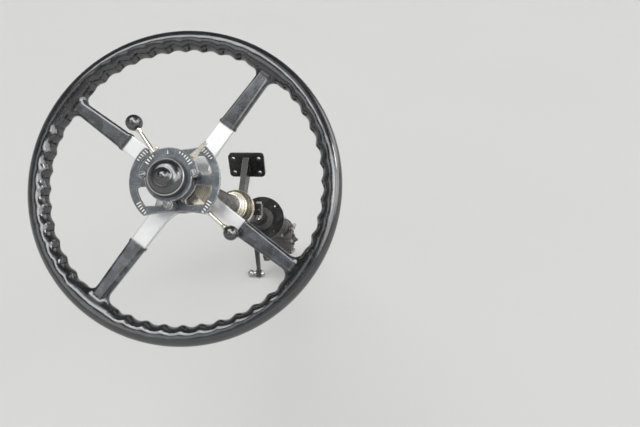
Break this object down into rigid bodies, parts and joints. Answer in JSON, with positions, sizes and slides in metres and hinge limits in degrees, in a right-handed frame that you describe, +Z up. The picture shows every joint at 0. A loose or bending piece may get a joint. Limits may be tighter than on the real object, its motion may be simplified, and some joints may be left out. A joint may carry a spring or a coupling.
{
  "type": "steering wheel and column",
  "caption": "Spoked steering wheel with a finger-grip rim, control quadrant and horn push, on a raked column with steering box and drop arm.",
  "frame": {"origin": "centre of the bolt circle on the steering box's flange face, on the rocker shaft's axis", "axes": "+X to the car's right, +Y forward, +Z up; the flange faces -X and the column rises back to the driver"},
  "size_m": [0.4572, 1.0871, 1.0388],
  "materials": {
    "ebonite": "glossy black moulding, scuffed",
    "alloy": "polished, fine scratches",
    "gunmetal": "dark plated, edges worn bright",
    "nickel": "worn nickel plate",
    "dome_black": "glossy black",
    "aged_nickel": "turned, tarnished",
    "enamel": "black enamel, chipped",
    "iron": "black painted casting, oily",
    "steel": "machined, slightly rusted",
    "rubber": "perished black rubber",
    "white_filling": "old white paint in the plates' marks",
    "rubbed_ring": "dark plated, its lip rubbed bright"
  },
  "bodies": {
    "column": {"stator_tube": "steel", "control_head": "gunmetal", "quadrant_plate": "gunmetal", "mixture_plate": "gunmetal", "horn_ring": "rubbed_ring", "horn_push": "dome_black", "throttle_lever": "nickel", "throttle_knob": "dome_black", "ignition_lever": "nickel", "ignition_knob": "dome_black", "mixture_lever": "nickel", "upper_ferrule": "aged_nickel", "column_tube": "enamel", "stepped_collar": "aged_nickel", "column_bracket": "enamel", "bracket_cap": "enamel", "bracket_bolts": "steel", "toe_plate": "enamel", "toe_seal": "rubber", "steering_box": "iron", "box_side_cover": "iron", "box_end_cap": "iron", "oil_plug": "steel", "relay_tubes": "steel", "relay_lever_throttle": "steel", "relay_lever_ignition": "steel", "relay_lever_mixture": "steel", "clamp_bolt": "steel"},
    "wheel": {"wheel_rim": "ebonite", "wheel_spider": "alloy", "hub_nut": "nickel", "steering_shaft": "steel"},
    "drop_arm": {"rocker_shaft": "steel", "drop_arm": "iron", "drop_arm_ball": "steel", "rocker_nut": "steel"}
  },
  "joints": [
    {"name": "wheel_turn", "type": "hinge", "parent": "column", "child": "wheel", "pos_m": [0.056, -0.79121, 0.67654], "axis": [0, -0.788, 0.6157], "range_deg": [-363, 363]},
    {"name": "drop_arm_swing", "type": "hinge", "parent": "column", "child": "drop_arm", "pos_m": [0, 0, 0], "axis": [1, 0, 0], "range_deg": [-33, 33]}
  ],
  "couplings": [
    {"joint": "drop_arm_swing", "follows": "wheel_turn", "ratio": 0.0909}
  ]
}
